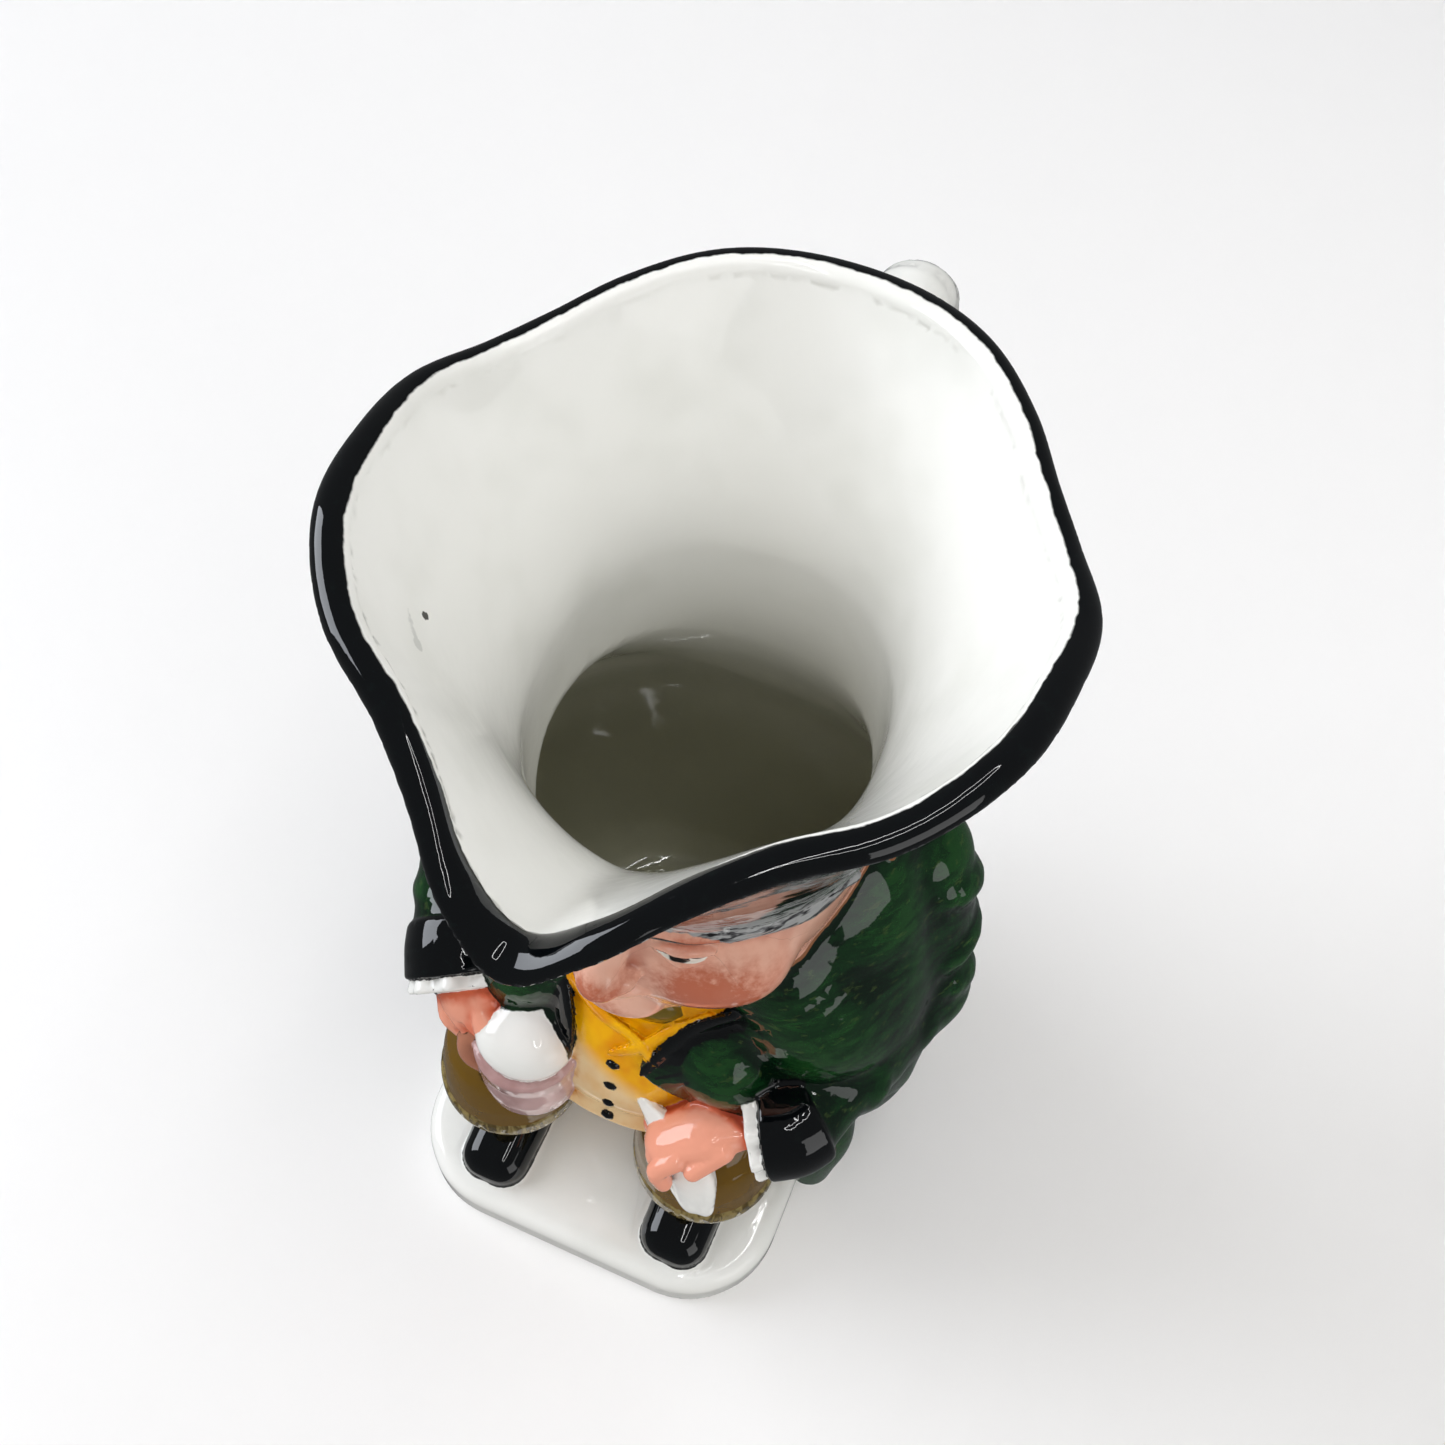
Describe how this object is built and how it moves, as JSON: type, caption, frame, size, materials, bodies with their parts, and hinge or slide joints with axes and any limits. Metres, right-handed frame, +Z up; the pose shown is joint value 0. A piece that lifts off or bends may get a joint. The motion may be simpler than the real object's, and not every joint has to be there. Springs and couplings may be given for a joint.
{
  "type": "character jug",
  "caption": "Glazed earthenware jug cast as a seated toper holding a mug of beer, with the cocked hat as its mouth and a strap handle behind.",
  "frame": {"origin": "on the flat underside, on the jug's own axis, below the middle of the mouth", "axes": "+Z up along the jug's axis, the figure faces -Y, the handle is at +Y, the figure's left hand is at +X"},
  "size_m": [0.0886, 0.1251, 0.1534],
  "materials": {
    "glazed_earthenware": "clear gloss glaze over hand-painted enamel colours on white earthenware"
  },
  "bodies": {
    "root": {"jug": "glazed_earthenware"}
  },
  "joints": []
}
